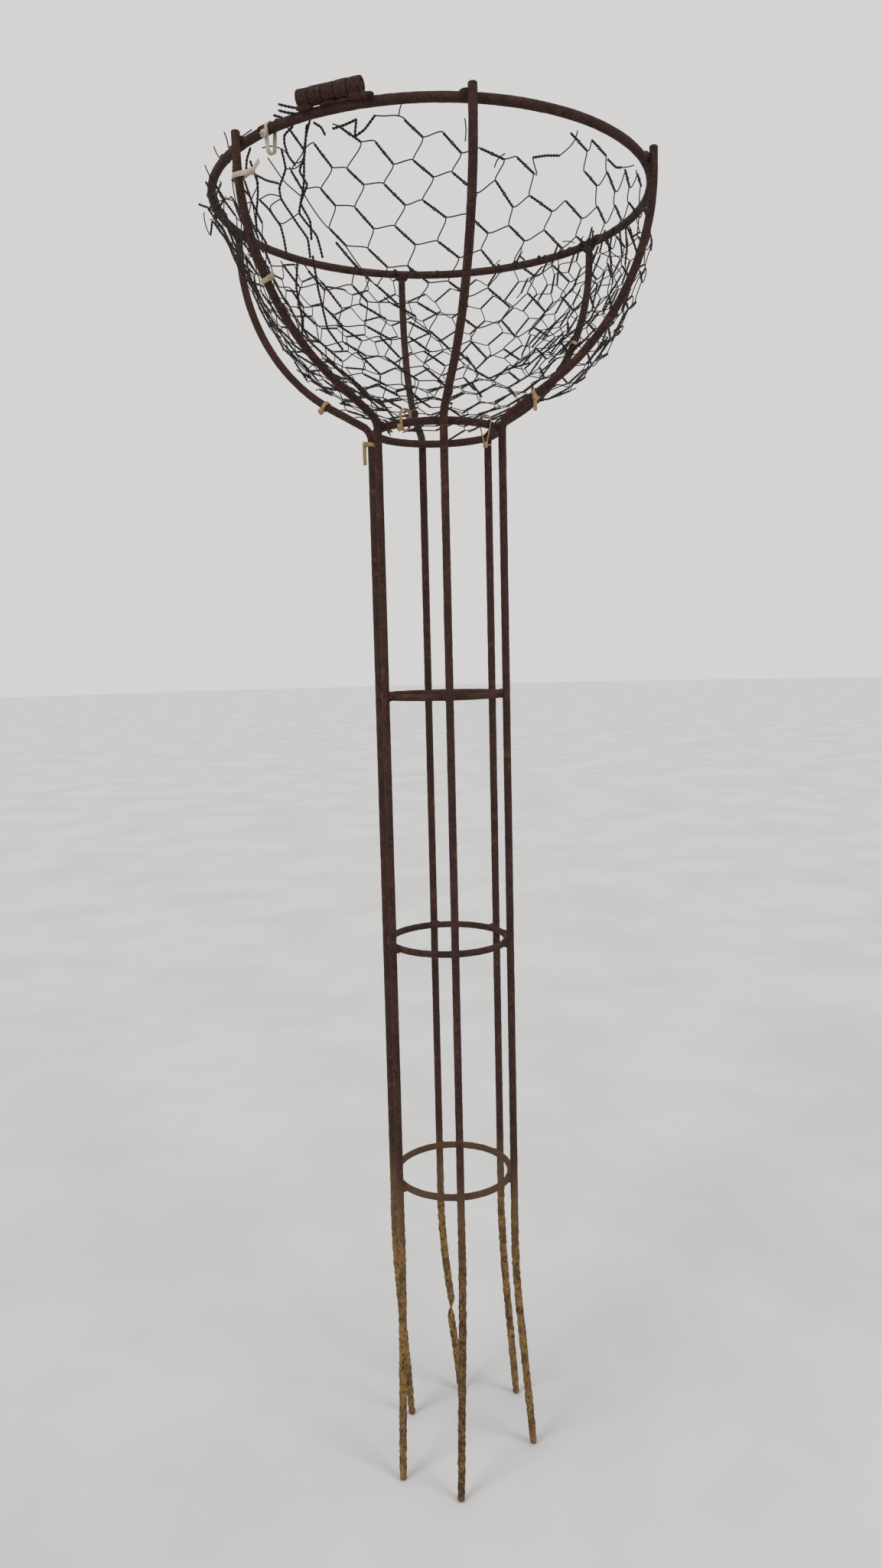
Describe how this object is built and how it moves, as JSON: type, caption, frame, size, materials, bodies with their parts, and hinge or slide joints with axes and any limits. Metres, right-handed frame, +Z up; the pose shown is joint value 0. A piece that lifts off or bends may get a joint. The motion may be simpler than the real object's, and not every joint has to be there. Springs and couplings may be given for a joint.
{
  "type": "fruit picker basket",
  "caption": "Deep bowl of welded steel rods lined with hexagonal wire netting, on a tall narrow rod cage with splayed legs and an empty hinge barrel on the rim.",
  "frame": {"origin": "on the floor, on the axis of the cage shaft, at the middle of the part's outline", "axes": "+Z up along the shaft; -Y is the front, with one rod at the front and the hinge barrel at the front left of the rim"},
  "size_m": [0.5056, 0.5113, 1.5598],
  "materials": {
    "rusty_steel": "dark brown rust, matte and pitted",
    "stained_steel": "scaly brown rust, stained with ochre clay towards the feet",
    "netting_wire": "dull dark grey-brown weathered wire",
    "nylon": "yellowed translucent nylon"
  },
  "bodies": {
    "stand": {"rim_hoop": "rusty_steel", "collar_hoop": "rusty_steel", "shaft_hoop_upper": "rusty_steel", "shaft_hoop_middle": "rusty_steel", "shaft_hoop_lower": "rusty_steel", "rod_front": "stained_steel", "rod_front_right": "stained_steel", "rod_back_right": "stained_steel", "rod_back": "stained_steel", "rod_back_left": "stained_steel", "rod_front_left": "stained_steel", "wire_netting": "netting_wire", "knuckle_fixed_left": "rusty_steel", "knuckle_fixed_middle": "rusty_steel", "knuckle_fixed_right": "rusty_steel", "hinge_pin": "rusty_steel", "tie_front_left_upper": "nylon", "tie_front_left_lower": "nylon", "tie_back_left_low": "nylon", "tie_front_right_low": "nylon", "tie_back_right_low": "nylon", "tie_back_collar": "nylon", "tie_back_left_collar": "nylon", "tie_rim_slack": "nylon", "tie_front_left_collar": "nylon", "tie_front_right_collar": "nylon"},
    "knuckle_left": {"knuckle_loose_left": "rusty_steel"},
    "knuckle_right": {"knuckle_loose_right": "rusty_steel"}
  },
  "joints": [
    {"name": "knuckle_left_turn", "type": "hinge", "parent": "stand", "child": "knuckle_left", "pos_m": [-0.10595, -0.22972, 1.55169], "axis": [0.9291, -0.3697, 0], "continuous": true},
    {"name": "knuckle_right_turn", "type": "hinge", "parent": "stand", "child": "knuckle_right", "pos_m": [-0.08086, -0.23971, 1.55169], "axis": [0.9291, -0.3697, 0], "continuous": true}
  ]
}
